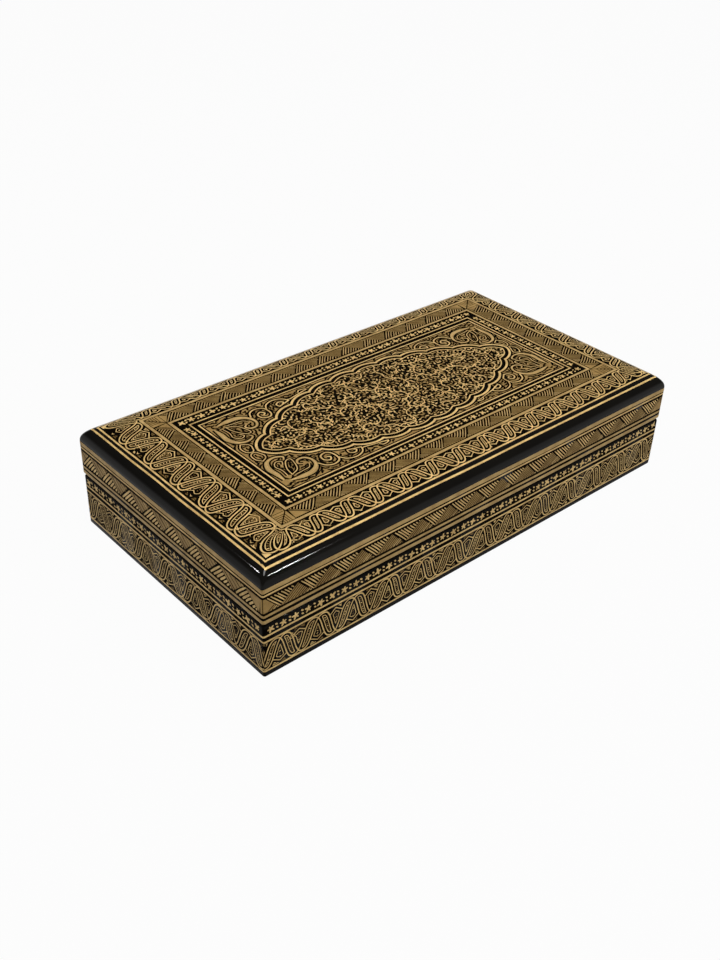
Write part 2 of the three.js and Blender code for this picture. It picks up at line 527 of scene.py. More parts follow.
def leaf_in(paints, place, cell):
    """One leaf: a thin outline inside its cell, and a duller blade with a dark midrib and bright dashes."""
    gold, ground, ink = paints
    loop = inset(cell, RIBBON / 2 + RIBBON_EDGE + LEAF_LINE / 2)
    if len(loop) < 10 or np.ptp(loop[:, 1]) < 1.0:
        return
    gold.stroke(place, loop[::2], LEAF_LINE, 0.034, closed=True, across=2)
    within = inset(cell, RIBBON / 2 + RIBBON_EDGE + LEAF_LINE + 0.05)
    if len(within) < 6 or np.ptp(within[:, 1]) < 0.7:
        return
    low, high = within[:, 1].min() + 0.1, within[:, 1].max() - 0.1
    rows = []
    for level in np.linspace(low, high, max(3, int((high - low) / 0.5) + 1)):
        reach = cut_across(within, level)
        if reach:
            rows.append((reach[0], reach[1], level))
    if len(rows) < 3:
        return
    left, right, level = np.array(rows).T
    middle = (left + right) / 2
    wide = np.median(right - left)
    if wide > 2 * LEAF_EDGE + 0.35:
        edge = np.minimum(LEAF_EDGE, (right - left) * 0.4)
        ground.weave(place, [pairs(x, level) for x in (left + edge, middle, right - edge)], 0.03)
        rib = pairs(middle + (right - left) * 0.14 * np.sin(np.arange(len(middle)) * 1.9), level)
        ink.stroke(place, rib, 0.30, 0.044, across=2)
        for i in range(1, len(rib) - 1, 2):
            side = hand.choice((-0.28, 0.28)) * (right[i] - left[i])
            dash = rib[i] + np.array([(side - 0.22, -0.3), (side + 0.22, 0.3)])
            gold.dash(place, *dash, 0.28, 0.046)
        return
    for i in range(0, len(level) - 1, 2):
        lean = 0.3 * min(right[i] - left[i], 0.9) * hand.choice((-1, 1))
        dash = np.array([(middle[i] - lean, level[i] - 0.2), (middle[i] + lean, level[i] + 0.25)])
        paint = gold if hand.random() < 0.5 else ground
        paint.dash(place, *dash, 0.32, 0.034)


def gables(paints, place, s, line, swing, valleys, up, around):
    """A pointed line over each dip between the ribbons, with a leaf under it. Gives their height."""
    roof = np.full(len(s), -9.0)
    for i in valleys:
        shoulder = 0.50 * swing[i]
        left = right = i
        while left > 0 and line[left] < shoulder:
            left -= 1
        while right < len(s) - 1 and line[right] < shoulder:
            right += 1
        if line[left] < shoulder or line[right] < shoulder or not 0 <= s[i] < around:
            continue
        tip = ((s[left] + s[right]) / 2 + vary(-0.3, 0.3), swing[i] * vary(0.80, 0.90))
        gable = np.array([(s[left], shoulder), tip, (s[right], shoulder)])
        paints[0].stroke(place, gable * [1, up], 0.36, 0.036)
        x = s[left:right + 1]
        roof[left:right + 1] = np.interp(x, gable[:, 0], gable[:, 1])
        walls = pairs(x, line[left:right + 1])
        cell = resample(np.vstack([walls, gable[1::-1], walls[:1]]), 0.42)[:-1] * [1, up]
        leaf_in(paints, place, cell)
    return roof


def edge_marks(paints, place, s, floor, ceiling, up):
    """Fills what is bare between the ribbons and the edge, with flicks of black where it is deep."""
    gold, ground, ink = paints
    bare = floor > ceiling - 0.14
    floor = np.minimum(floor, ceiling)
    start = None
    for i in list(range(0, len(s), 3)) + [len(s)]:
        filled = i < len(s) and not bare[i]
        if filled and start is None:
            start = i
        if filled or start is None:
            continue
        part = slice(start, i, 3)
        x, deep = s[part], ceiling[part] - floor[part]
        if len(x) > 2:
            paint = gold if hand.random() < 0.36 and deep.max() < 2.0 else ground
            paint.weave(place, [pairs(x, up * (floor[part] + deep * f)) for f in (0, 0.5, 1)], 0.028)
            shifts = (-1.0, 0.2, 1.2) if deep.max() > 1.0 else ()
            for shift in shifts:
                at = np.array([x[np.argmax(deep)] + shift, up * (ceiling[start] - 0.42)])
                flick = at + np.array([(-0.5, -0.28 * up), (0, 0), (0.5, 0.06)])
                ink.stroke(place, flick, 0.26, 0.04, across=2)
        start = None


def leaf_band(paints, place, s, phase, half, around=1e6):
    """Two ribbons a quarter turn apart that swing from edge to edge, with leaves in all their cells."""
    lap = s % around
    steady = np.clip(np.minimum(lap, around - lap) / 10 - 0.3, 0, 1)
    phase = phase + 2.0 * wander(18, 0.05)(lap) * steady
    swing = (half - RIBBON / 2 + 0.05) * (1 + wander(11, 0.025)(lap) * steady)

    def wave(f):
        f = f - SLANT * np.sin(f)
        return np.tanh(SQUARENESS * np.sin(f)) / math.tanh(SQUARENESS)

    late, early = swing * wave(phase - math.pi / 4), swing * wave(phase + math.pi / 4)
    for line in (late, early):
        path = resample(pairs(s, line), 0.45)
        paints[0].stroke(place, path, RIBBON * (1 + wander(9, 0.07)(path[:, 0])), 0.038)
    swap = np.nonzero(np.diff(np.sign(late - early)))[0]
    for a, b in zip(swap[:-1], swap[1:]):
        if b - a < 8:
            continue
        one, other = pairs(s[a:b + 2], late[a:b + 2]), pairs(s[a:b + 2], early[a:b + 2])
        cell = resample(np.vstack([one, other[::-1], one[:1]]), 0.42)[:-1]
        if 0 <= cell[:, 0].mean() < around:
            leaf_in(paints, place, cell)
    for up, line in ((1, np.maximum(late, early)), (-1, -np.minimum(late, early))):
        valleys = swap[line[swap] < 0]
        roof = gables(paints, place, s, line, swing, valleys, up, around)
        steep = np.sqrt(1 + np.gradient(line, s) ** 2)
        floor = np.maximum(line + (RIBBON / 2 + 0.76) * steep, roof + 1.0)
        edge_marks(paints, place, s, floor, half - 0.30, up)


# The middle and the width of the black under the bands, and of each gold line
BASE_BLACK, BASE_LINES = (11.5, 18.6), ((17.00, 0.74), (14.80, 0.72), (2.5, 0.66))
FLOWERS_MIDDLE, FLOWERS_HEIGHT, FLOWERS_PITCH = 19.4, 2.9, 5.1
LEAVES_LOW, LEAVES_HIGH, LEAVES_PITCH = 2.95, 14.35, 15.4
SHORT_OF_ARRIS, RUN_PAST = 0.18, 10
base_gold = Paint("base_gold", bright_gold)
base_ground = Paint("base_ground", dull_gold)
base_ink = Paint("base_ink", black_ink, "black_lacquer")
base_paints = base_gold, base_ground, base_ink
for turn in range(4):
    place = on_side(turn, BASE_X, BASE_Y, base_profile, 0)
    reach = (BASE_X if turn % 2 == 0 else BASE_Y) - SHORT_OF_ARRIS
    rule(base_ink, place, -reach, reach, *BASE_BLACK, 0.008, across=2)
    flower_row(base_gold, place, 0.3 - reach, reach - 0.3, FLOWERS_MIDDLE, FLOWERS_HEIGHT, FLOWERS_PITCH)
    for height, width in BASE_LINES:
        rule(base_gold, place, -reach, reach, height, width, 0.03)
    middle, half = (LEAVES_HIGH + LEAVES_LOW) / 2, (LEAVES_HIGH - LEAVES_LOW) / 2
    swings = 2 * round(2 * reach / LEAVES_PITCH)
    s = np.arange(0, 2 * reach + 2 * RUN_PAST, 0.2)
    phase = s / (2 * reach) * swings * math.pi + vary(0, 3)

    def band_place(a, b, lift, on=place, end=reach):
        return on(np.clip(a - end - RUN_PAST, -end, end), middle + b, lift)

    leaf_band(base_paints, band_place, s, phase, np.full_like(s, half))

for paint in base_paints:
    paint.piece("base", side_map(0, SEAM))

# Lid
# A top board and four walls, its upper edge filed to a broad curve and its lower edge to a small
# one, then gessoed and lacquered black like the base. Inside it is hollow above the collar.
LID_X, LID_Y, LID_TOP = LENGTH / 2 - PAINT_DEPTH, DEPTH / 2 - PAINT_DEPTH, HEIGHT - PAINT_DEPTH
CURVE_WIDTH, CURVE_DROP, CURVE_STEPS = 12.0, 7.0, 26
LIP_RADIUS, LID_SOFTENING = 1.3, 0.25
LID_FOOT = SEAM + 0.02
LID_INSIDE_X, LID_INSIDE_Y, LID_CEILING = 96.5, 50.0, 38.5
lip_in, lip_up = arc_edge(LIP_RADIUS, 8)
curve = quarter(CURVE_STEPS)
lid_profile = (
    np.concatenate([(LID_FOOT + lip_up)[::-1], LID_TOP - CURVE_DROP * (1 - np.sin(curve))]),
    np.concatenate([lip_in[::-1], CURVE_WIDTH * (1 - np.cos(curve))]),
)
lid_rings = [ring(LID_INSIDE_X - FLAT_MARGIN, LID_INSIDE_Y - FLAT_MARGIN, INNER_RADIUS, LID_CEILING)]
for z in (LID_CEILING, LID_FOOT):
    lid_rings.append(ring(LID_INSIDE_X, LID_INSIDE_Y, INNER_RADIUS, z))
for z, i in zip(*lid_profile):
    lid_rings.append(ring(LID_X - i, LID_Y - i, ARRIS + LID_SOFTENING * i, z))
for i in (CURVE_WIDTH + 0.5, CURVE_WIDTH + 6):
    lid_rings.append(ring(LID_X - i, LID_Y - i, ARRIS + LID_SOFTENING * CURVE_WIDTH, LID_TOP))
lid_black = lacquer_finish("lid_black", 0.09)
lid = new_piece("lid_lacquer", *loft(lid_rings), lid_black, "lid", "black_lacquer", sharp=40)
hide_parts("lid_top", "lid_front_wall", "lid_back_wall", "lid_left_wall", "lid_right_wall")

# Gold painting on the lid's sides
# Below the black curve: a stripe and a thin line, a band of hatched triangles, another line, and a
# stripe that runs round the lid's lip.
HATCH_LOW, HATCH_HIGH = 26.75, 32.6


def triangle_fill(paint, place, corners, lift, steps=6):
    """A plain triangle laid in short rows, so that it follows the surface."""
    a, b, c = corners
    f = np.linspace(0, 1, steps + 1)[:, None]
    left, right = a + (b - a) * f, a + (c - a) * f
    paint.weave(place, [left, (left + right) / 2, right], lift)


def hatch_row(paints, place, start, end, low, high, unit, bold, fine, share, flip):
    """Triangles standing on alternate edges: one set of bold gold stripes, which take up a share of
    their pitch, and one set in plain gold with fine black lines."""
    gold, ground, ink = paints
    count = round((end - start) / unit)
    unit = (end - start) / count
    tall = high - low
    uneven = np.array([vary(-0.03, 0.03) for _ in range(count + 3)])
    cuts = start + (np.arange(-1, count + 2) + uneven) * unit
    for s0, s1 in zip(cuts[:-1], cuts[1:]):
        wide = s1 - s0
        lean, back = vary(0.385, 0.415), vary(0.89, 0.92)

        def at(x, y):
            return np.array([s0 + x * wide, low + (1 - y if flip else y) * tall])

        # The bold set: its base on the far edge from 0 to back, its point at lean
        for i in range(bold):
            f = (i + 0.4) / bold
            top, foot = at(back * f, 0.98), at(lean + (back - lean) * f, 0.98 * f + 0.02)
            if min(top[0], foot[0]) < start + 0.1 or max(top[0], foot[0]) > end:
                continue
            long = np.hypot(*(top - foot))
            if long < 0.45:
                continue
            pitch = back * wide / bold * math.sin(math.atan2(tall, lean * wide))
            bow = (top - foot)[::-1] * [1, -1] / long * vary(-0.10, 0.16)
            run = np.linspace(0, 1, 5)[:, None]
            path = top + (foot - top) * run + bow * 4 * run * (1 - run)
            width = pitch * vary(share - 0.05, share + 0.05)
            gold.stroke(place, path, width * np.array([0.8, 1, 1.05, 1, 0.75]), 0.034, across=2)
        # The plain set: its base on the near edge, its point between the bold bases
        corners = [at((1 + back) / 2 - 0.01, 0.99), at(lean + 0.02, 0.03), at(1.0 + lean - 0.06, 0.03)]
        if corners[1][0] < end and corners[2][0] > start:
            clipped = [np.array([min(max(c[0], start), end), c[1]]) for c in corners]
            triangle_fill(ground, place, clipped, 0.026, steps=5)
        for i in range(fine):
            f = (i + 0.55) / fine
            top = corners[0] + (corners[2] - corners[0]) * f
            foot = at(lean + 0.07 + 0.84 * f, 0.06)
            if np.hypot(*(top - foot)) < 0.5 or not start < foot[0] < end or not start < top[0] < end:
                continue
            ink.dash(place, foot, top, 0.30 + 0.12 * hand.random(), 0.038, 4)
            if f > 0.55 and hand.random() < 0.5:
                path = np.linspace(foot, top, 4)
                gold.stroke(place, path + [0.5, 0], 0.30, 0.046, across=2)


lid_side_gold = Paint("lid_side_gold", bright_gold)
lid_side_stripe = Paint("lid_side_stripe", stripe_gold)
lid_side_ground = Paint("lid_side_ground", field_gold)
lid_side_ink = Paint("lid_side_ink", black_ink, "black_lacquer")
LONG_SIDE_HATCH = {"unit": 13.3, "bold": 9, "fine": 8, "share": 0.44, "flip": False}
SHORT_SIDE_HATCH = {"unit": 13.5, "bold": 7, "fine": 4, "share": 0.58, "flip": True}
# The middle and the width of the black under them all, and of each line, with its rows across
SIDE_BLACK = (30.2, 12.3)
SIDE_LINES = (
    (lid_side_stripe, 35.45, 1.66, 5), (lid_side_gold, 33.72, 0.68, 3),
    (lid_side_stripe, 25.45, 0.98, 3), (lid_side_stripe, 22.98, 1.90, 9),
)
for turn in range(4):
    place = on_side(turn, LID_X, LID_Y, lid_profile, LID_SOFTENING)
    reach = (LID_X if turn % 2 == 0 else LID_Y) - SHORT_OF_ARRIS
    rule(lid_side_ink, place, -reach, reach, *SIDE_BLACK, 0.008, across=2)
    for paint, height, width, across in SIDE_LINES:
        rule(paint, place, -reach, reach, height, width, 0.03, across=across)
    flat_end = reach - 0.85
    hatch_row((lid_side_gold, lid_side_ground, lid_side_ink), place, -flat_end, flat_end,
              HATCH_LOW, HATCH_HIGH, **(SHORT_SIDE_HATCH if turn % 2 else LONG_SIDE_HATCH))
    heights = np.linspace(HATCH_LOW + 0.15, HATCH_HIGH - 0.15, 6)
    for sign in (-1, 1):
        on_arris = [pairs(np.full(6, sign * (reach - d)), heights) for d in (0.95, 0.7, 0.5, 0.3, 0.1)]
        lid_side_ground.weave(place, on_arris, 0.026)
for paint in (lid_side_gold, lid_side_stripe, lid_side_ground, lid_side_ink):
    paint.piece("lid", side_map(SEAM, HEIGHT))

# Frames on the lid's top
# Gold lines round the top, from the curved edge inwards, with a band of ribbons and leaves between
# the second and third, triangles between the third and fourth, and flowers inside that.
LEFT, RIGHT, FRONT, BACK = range(4)
OUTER_LINE = (3.75, 3.6, 3.2, 3.3)
SECOND_LINE = (5.25, 5.2, 5.2, 5.2)
HATCH_OUTER = (18.8, 15.2, 14.5, 12.7)
HATCH_INNER = (25.95, 23.75, 21.65, 20.35)
FLOWER_INNER = (30.95, 28.95, 26.6, 25.95)
FIELD_LINE = (33.25, 30.7, 28.7, 28.4)


def on_top(x, y, lift):
    """A mark at x, y on the lid, on its flat or on the curve near its edge."""
    a, b = LID_X - np.abs(x), LID_Y - np.abs(y)
    near, far = np.minimum(a, b), np.maximum(a, b)
    k, r = LID_SOFTENING, ARRIS
    p = 1 + k
    qa = 2 * p * p - k * k
    qb = 2 * p * (2 * r - a - b) - 2 * k * r
    qc = (r - a) ** 2 + (r - b) ** 2 - r * r
    round_corner = (-qb + np.sqrt(np.maximum(qb * qb - 4 * qa * qc, 0))) / (2 * qa)
    inset = np.where(far < near + r + k * near, round_corner, near)
    part = np.clip((CURVE_WIDTH - inset) / CURVE_WIDTH, 0, 0.985)
    drop = CURVE_DROP * (1 - np.sqrt(1 - part ** 2))
    slope = CURVE_DROP / CURVE_WIDTH * part / np.sqrt(1 - part ** 2)
    return np.stack([x, y, LID_TOP - drop + lift * np.sqrt(1 + slope ** 2)], 1)


def top_map(points):
    flat = pairs(points[:, 0] / LENGTH + 0.5, points[:, 1] / DEPTH + 0.5)
    return flat, np.tile([0.0, 0.0, 1.0], (len(points), 1))


def corners_at(insets, more=0.0):
    """The corners of a frame line, from the front left one round to the right."""
    x0, x1 = -LENGTH / 2 + insets[LEFT] + more, LENGTH / 2 - insets[RIGHT] - more
    y0, y1 = -DEPTH / 2 + insets[FRONT] + more, DEPTH / 2 - insets[BACK] - more
    return np.array([(x0, y0), (x1, y0), (x1, y1), (x0, y1)])


def side_of(corners, turn):
    """Where one side of a frame starts and ends, its length, and which way it runs and faces out."""
    a, b = corners[turn], corners[(turn + 1) % 4]
    long = np.hypot(*(b - a))
    forward = (b - a) / long
    return a, b, long, forward, np.array([forward[1], -forward[0]])


def frame_line(paint, insets, width):
    """A gold line all round, with closer points where it nears the corners."""
    path = []
    for turn in range(4):
        a, b, long, _, outward = side_of(corners_at(insets), turn)
        near = np.array([0.2, 0.4, 0.6, 0.9, 1.3]) / long
        f = np.sort(np.concatenate([np.linspace(0, 1, int(long / 1.8) + 1)[:-1], near, 1 - near]))
        drift = wander(45, 0.09)(f * long) * np.sin(f * math.pi)
        path.append(a + (b - a) * f[:, None] - outward * drift[:, None])
    path = np.vstack(path)
    swell = wander(30, 0.06)(np.arange(len(path)) * 1.8)
    paint.stroke(on_top, path, width * (1 + swell), 0.03, closed=True)


top_gold, top_stripe = Paint("lid_top_gold", bright_gold), Paint("lid_top_stripe", stripe_gold)
top_ground, top_field = Paint("lid_top_ground", dull_gold), Paint("lid_top_field", field_gold)
top_ink = Paint("lid_top_ink", black_ink, "black_lacquer")
for paint, insets, width in (
    (top_gold, OUTER_LINE, 0.60), (top_gold, SECOND_LINE, 0.56), (top_stripe, HATCH_OUTER, 1.15),
    (top_stripe, HATCH_INNER, 1.05), (top_gold, FLOWER_INNER, 0.56), (top_gold, FIELD_LINE, 0.56),
):
    frame_line(paint, insets, width)

# The band of leaves runs round the top in one lap, along a spine with rounded corners. The ribbons
# swing a whole number of times between one corner's middle and the next.

LEAF_OUTER = [v + 0.62 for v in SECOND_LINE]
LEAF_INNER = [v - 0.95 for v in HATCH_OUTER]
LEAF_SWINGS = {FRONT: 28, RIGHT: 14, BACK: 28, LEFT: 12}
leaf_half = [(i - o) / 2 for o, i in zip(LEAF_OUTER, LEAF_INNER)]
spine, outs, halves, marks = [], [], [], []
order = (FRONT, RIGHT, BACK, LEFT)
inner = corners_at(LEAF_INNER)
for turn, side in enumerate(order):
    a, b, long, forward, outward = side_of(inner, turn)
    ahead_side = order[(turn + 1) % 4]
    for f in np.linspace(0, 1, int(long / 0.4)):
        spine.append(a + (b - a) * f + outward * leaf_half[side])
        outs.append(outward)
        halves.append(leaf_half[side])
    for f in np.linspace(0, 1, 31)[1:-1]:
        c, d = math.cos(f * math.pi / 2), math.sin(f * math.pi / 2)
        half = ((c / leaf_half[side]) ** 4 + (d / leaf_half[ahead_side]) ** 4) ** -0.25
        if abs(f - 0.5) < 1e-6:
            marks.append((len(spine), ahead_side))
        spine.append(b + half * (c * outward + d * forward))
        outs.append(c * outward + d * forward)
        halves.append(half)
spine, outs, halves = np.array(spine), np.array(outs), np.array(halves)
shift = marks[-1][0]
spine, outs, halves = (np.roll(v, -shift, 0) for v in (spine, outs, halves))
marks = sorted(((m - shift) % len(spine), side) for m, side in marks)
paced = spine + outs * halves[:, None] * 0.3
closed_spine = np.vstack([paced, paced[:1]])
run = np.concatenate([[0], np.cumsum(np.hypot(*np.diff(closed_spine, axis=0).T))])
turns = 0
knots = [(0.0, 0.0)]
stops = [run[index] for index, _ in marks[1:]] + [run[-1]]
for stop, (_, side) in zip(stops, marks):
    turns += LEAF_SWINGS[side]
    knots.append((stop, turns * math.pi))
LAP_OVER = 20.0
s = np.arange(-LAP_OVER, run[-1] + LAP_OVER, 0.2)
phase = np.interp(s % run[-1], *zip(*knots)) + np.floor(s / run[-1]) * turns * math.pi + math.pi / 2


def on_leaf_band(a, b, lift):
    x, y, nx, ny = (
        np.interp(a % run[-1], run, np.append(v, v[0]))
        for v in (spine[:, 0], spine[:, 1], outs[:, 0], outs[:, 1])
    )
    return on_top(x + nx * b, y + ny * b, lift)


lap = np.arange(0, run[-1] - 0.4, 0.8)
lap_half = np.interp(lap, run, np.append(halves, halves[0])) + 0.25
band_black = [pairs(lap, lap_half * f) for f in np.linspace(-1, 1, 19)]
top_ink.weave(on_leaf_band, band_black, 0.010, closed=True)
band_half = np.interp(s % run[-1], run, np.append(halves, halves[0]))
leaf_band((top_gold, top_ground, top_ink), on_leaf_band, s, phase, band_half, run[-1])

# A gold wedge fills each outer corner of the band
wedge = np.array([(0.3, 0.3), (2.6, 0.4), (1.9, 1.0), (1.4, 1.4), (1.0, 1.9), (0.4, 2.6)])
for home, inwards in zip(corners_at(LEAF_OUTER), CORNERS):
    top_gold.fill(on_top, home + wedge * inwards, 0.036)


def on_frame(side, insets, more=0.0):
    """Marks along one side of a frame: s runs along the side and t outwards from the line given."""
    a, _, long, forward, outward = side_of(corners_at(insets, more), order.index(side))

    def place(s, t, lift):
        x = a[0] + forward[0] * s + outward[0] * t
        y = a[1] + forward[1] * s + outward[1] * t
        return on_top(x, y, lift)

    return place, long


# The triangles and flowers stand on a flat black, without the gloss of the lacquer
f = np.linspace(0, 1, 60)[:-1, None]
flat_black = []
for share in (-0.02, 0.5, 1.01):
    a = corners_at([o + (i - o) * share for o, i in zip(HATCH_OUTER, FIELD_LINE)])
    flat_black.append(np.vstack([p + (q - p) * f for p, q in zip(a, np.roll(a, -1, 0))]))
top_ink.weave(on_top, flat_black, 0.006, closed=True)

# Triangles between the second and third gold stripes, mitred at the corners
BESIDE_STRIPE, BESIDE_LINE = 0.575, 0.36
END_HATCH = {"unit": 10.5, "bold": 7, "fine": 9, "share": 0.35, "flip": False}
LONG_HATCH = {"unit": 11.8, "bold": 8, "fine": 9, "share": 0.35, "flip": True}
for side in order:
    place, long = on_frame(side, HATCH_INNER, -BESIDE_STRIPE)
    wide = HATCH_INNER[side] - HATCH_OUTER[side] - BESIDE_STRIPE - 0.70

    def from_the_end(s, t, lift, on=place, far=long):
        return on(far - s, t, lift)

    hatch_row((top_stripe, top_field, top_ink), from_the_end, 0.1, long - 0.1, 0.30, wide - 0.30,
              **(END_HATCH if side in (LEFT, RIGHT) else LONG_HATCH))
inner, outer = corners_at(HATCH_INNER, -0.72), corners_at(HATCH_OUTER, 0.85)
for turn in range(4):
    a, b = inner[turn], outer[turn]
    for c in (np.array([a[0], b[1]]), np.array([b[0], a[1]])):
        triangle_fill(top_field, on_top, [a, b, c], 0.026)
        for f in (0.12, 0.28, 0.44, 0.60, 0.76):
            top_ink.dash(on_top, b + (a - b) * f, b + (c - b) * f, 0.26, 0.038, 4)
    top_ink.dash(on_top, b, a, 0.42, 0.040, 5)

# Flowers inside the third stripe
for side in order:
    place, long = on_frame(side, FLOWER_INNER, -BESIDE_LINE)
    wide = FLOWER_INNER[side] - HATCH_INNER[side] - BESIDE_LINE - BESIDE_STRIPE
    past = 3.7 if side in (FRONT, BACK) else -0.3
    flower_row(top_gold, place, -past, long + past, wide / 2, wide * 0.63, 4.6)

# Field of the lid's top
# The ground inside the frames is solid gold with the drawing put in black; the pointed medallion is
# the other way about, gold stems, leaves and flowers on black, with a scalloped border of both.
FIELD = corners_at(FIELD_LINE, 0.55)
MEDALLION_CENTRE = np.array([2.1, 0.1])
MEDALLION_X, MEDALLION_Y, LOBES, LOBE_DEPTH = 63.1, 23.0, 6, 1.7
x_cuts = np.linspace(FIELD[0][0] + 0.35, FIELD[1][0] - 0.35, 60)
y_cuts = np.linspace(FIELD[0][1] + 0.35, FIELD[2][1] - 0.35, 24)
for y0, y1 in zip(y_cuts[:-1], y_cuts[1:]):
    top_field.weave(on_top, [pairs(x_cuts, np.full_like(x_cuts, y)) for y in (y0, y1)], 0.006)

def medallion(grow):
    """The scalloped outline, moved out by a margin."""
    reach_x, reach_y = MEDALLION_X, MEDALLION_Y
    cusps = [reach_x * (1 - (1 - k / LOBES) ** 1.15) for k in range(LOBES + 1)]

    def outline(x):
        return reach_y * max(0.0, 1 - abs(x / reach_x) ** 2.2) ** 0.9

    quarter_path = []
    for x0, x1 in zip(cusps[:-1], cusps[1:]):
        a, b = np.array([x0, outline(x0)]), np.array([x1, outline(x1)])
        normal = np.array([a[1] - b[1], b[0] - a[0]])
        normal = normal / np.hypot(*normal)
        for f in np.linspace(0, 1, 12)[:-1]:
            quarter_path.append(a + (b - a) * f + normal * LOBE_DEPTH * math.sin(math.pi * f) ** 0.75)
    quarter_path.append(np.array([reach_x, 0.0]))
    q = np.array(quarter_path)
    full = np.vstack([q, (q * [1, -1])[::-1][1:], (q * [-1, -1])[1:], (q * [-1, 1])[::-1][1:-1]])
    step = unit(np.roll(full, -1, 0) - np.roll(full, 1, 0))
    return full + grow * pairs(-step[:, 1], step[:, 0]) + MEDALLION_CENTRE


outline = medallion(0)
rings_in = [MEDALLION_CENTRE + (outline - MEDALLION_CENTRE) * f for f in np.linspace(0.02, 1, 12)]
top_ink.weave(on_top, rings_in, 0.020, closed=True)
top_gold.stroke(on_top, medallion(0.35), 0.90, 0.036, closed=True, across=2)
top_ink.stroke(on_top, medallion(1.15), 0.75, 0.022, closed=True, across=2)
top_gold.stroke(on_top, medallion(-1.85), 0.50, 0.036, closed=True, across=2)


def inside(point, shape):
    """How far within a closed outline a point lies; negative outside."""
    a, b = shape, np.roll(shape, -1, 0)
    ab, ap = b - a, point - a
    f = np.clip((ap * ab).sum(1) / (ab * ab).sum(1), 0, 1)
    gap = np.hypot(*(ap - ab * f[:, None]).T).min()
    crosses = (a[:, 1] > point[1]) != (b[:, 1] > point[1])
    x = a[:, 0] + (point[1] - a[:, 1]) / np.where(crosses, b[:, 1] - a[:, 1], 1) * (b[:, 0] - a[:, 0])
    return gap if (crosses & (x > point[0])).sum() % 2 else -gap


def leaf(paint, base, angle, long, wide, lift, bend=0.0):
    """A lens-shaped leaf from its stalk to its tip."""
    f = np.linspace(0, 1, 4)
    turn = angle + bend * (f - 0.5)
    spine = base + np.cumsum(pairs(np.cos(turn), np.sin(turn)), 0) * long / 4
    spine = np.vstack([base, spine])
    f = np.linspace(0, 1, 5)
    half_wide = wide / 2 * np.sin(math.pi * f ** 0.8)
    normal = np.array([-math.sin(angle), math.cos(angle)])
    sides = [spine + normal * half_wide[:, None] * c for c in (-1, 0, 1)]
    paint.weave(on_top, sides, lift)


def blossom(paint, ink, middle, size, petals, lift):
    turn = np.linspace(0, math.tau, petals * 6 + 1)[:-1] + vary(0, math.tau)
    reach = size * (0.66 + 0.34 * np.cos(petals * turn))
    paint.fill(on_top, middle + pairs(reach * np.cos(turn), reach * np.sin(turn)), lift)
    around = np.linspace(0, math.tau, 7)[:-1]
    ink.fill(on_top, middle + 0.22 * size * pairs(np.cos(around), np.sin(around)), lift + 0.012)


# Stems, leaves and flowers of the medallion
border = medallion(-2.3)


def scatter(shape, margin, spacing, tries):
    """Points inside a closed outline, none nearer to another than the spacing."""
    points = np.full((1, 2), 1e3)
    for _ in range(tries):
        point = MEDALLION_CENTRE + np.array([
            vary(-MEDALLION_X, MEDALLION_X), vary(-MEDALLION_Y, MEDALLION_Y),
        ])
        if ((points - point) ** 2).sum(1).min() > spacing ** 2 and inside(point, shape) > margin:
            points = np.vstack([points, point])
    return points[1:]


nodes = scatter(border, 0.9, 4.2, 3000)
root = int(np.argmin(np.hypot(*(nodes - MEDALLION_CENTRE - [0, -18]).T)))
distance = np.hypot(*(nodes - nodes[root]).T)
parent = np.full(len(nodes), root)
waiting = set(range(len(nodes))) - {root}
stem_at, stem_heading = [], []
while waiting:
    nearest = min(waiting, key=lambda i: distance[i])
    waiting.remove(nearest)
    p, q = nodes[parent[nearest]], nodes[nearest]
    gap = np.hypot(*(nodes - q).T) + 0.35
    closer = gap < distance
    parent[closer] = nearest
    distance[closer] = gap[closer]
    f = np.linspace(0, 1, 8)[:, None]
    sag = np.array([p[1] - q[1], q[0] - p[0]]) * hand.choice((-0.24, 0.24))
    path = p + (q - p) * f + sag * np.sin(math.pi * f)
    top_gold.stroke(on_top, path, 0.44, 0.040, across=2)
    stem_at += list(path[:-1])
    stem_heading += [math.atan2(*step[::-1]) for step in np.diff(path, axis=0)]
flowers = [q for q in nodes if hand.random() < 0.34]
for q in flowers:
    blossom(top_gold, top_ink, q, vary(1.25, 1.55), hand.choice((5, 6)), 0.042)
stem_at = np.array(stem_at)
for point in scatter(border, 0.25, 1.22, 24000):
    if min(np.hypot(*(q - point)) for q in flowers) < 1.5:
        continue
    heading = stem_heading[int(np.argmin(((stem_at - point) ** 2).sum(1)))]
    heading += hand.choice((-1, 1)) * vary(0.45, 1.15)
    long = vary(1.5, 2.05)
    foot = point - np.array([math.cos(heading), math.sin(heading)]) * long / 2
    paint = top_gold if hand.random() < 0.5 else top_field
    leaf(paint, foot, heading, long, vary(0.80, 1.02), 0.034, hand.choice((-0.5, 0.5)))

# Scrolls of the four corners
# Two fat leaves and a run of curling stems lie in each corner of the field, in gold drawn round with
# black. Their points are measured from the corner, along the box and inwards.

def curve_through(points, steps=8):
    """A smooth path through a few points."""
    p = np.array(points, float)
    p = np.vstack([2 * p[0] - p[1], p, 2 * p[-1] - p[-2]])
    out = []
    for a, b, c, d in zip(p[:-3], p[1:-2], p[2:-1], p[3:]):
        for f in np.linspace(0, 1, steps)[:-1]:
            out.append(0.5 * (2 * b + (c - a) * f + (2 * a - 5 * b + 4 * c - d) * f * f
                              + (3 * b - a - 3 * c + d) * f ** 3))
    out.append(p[-2])
    return np.array(out)


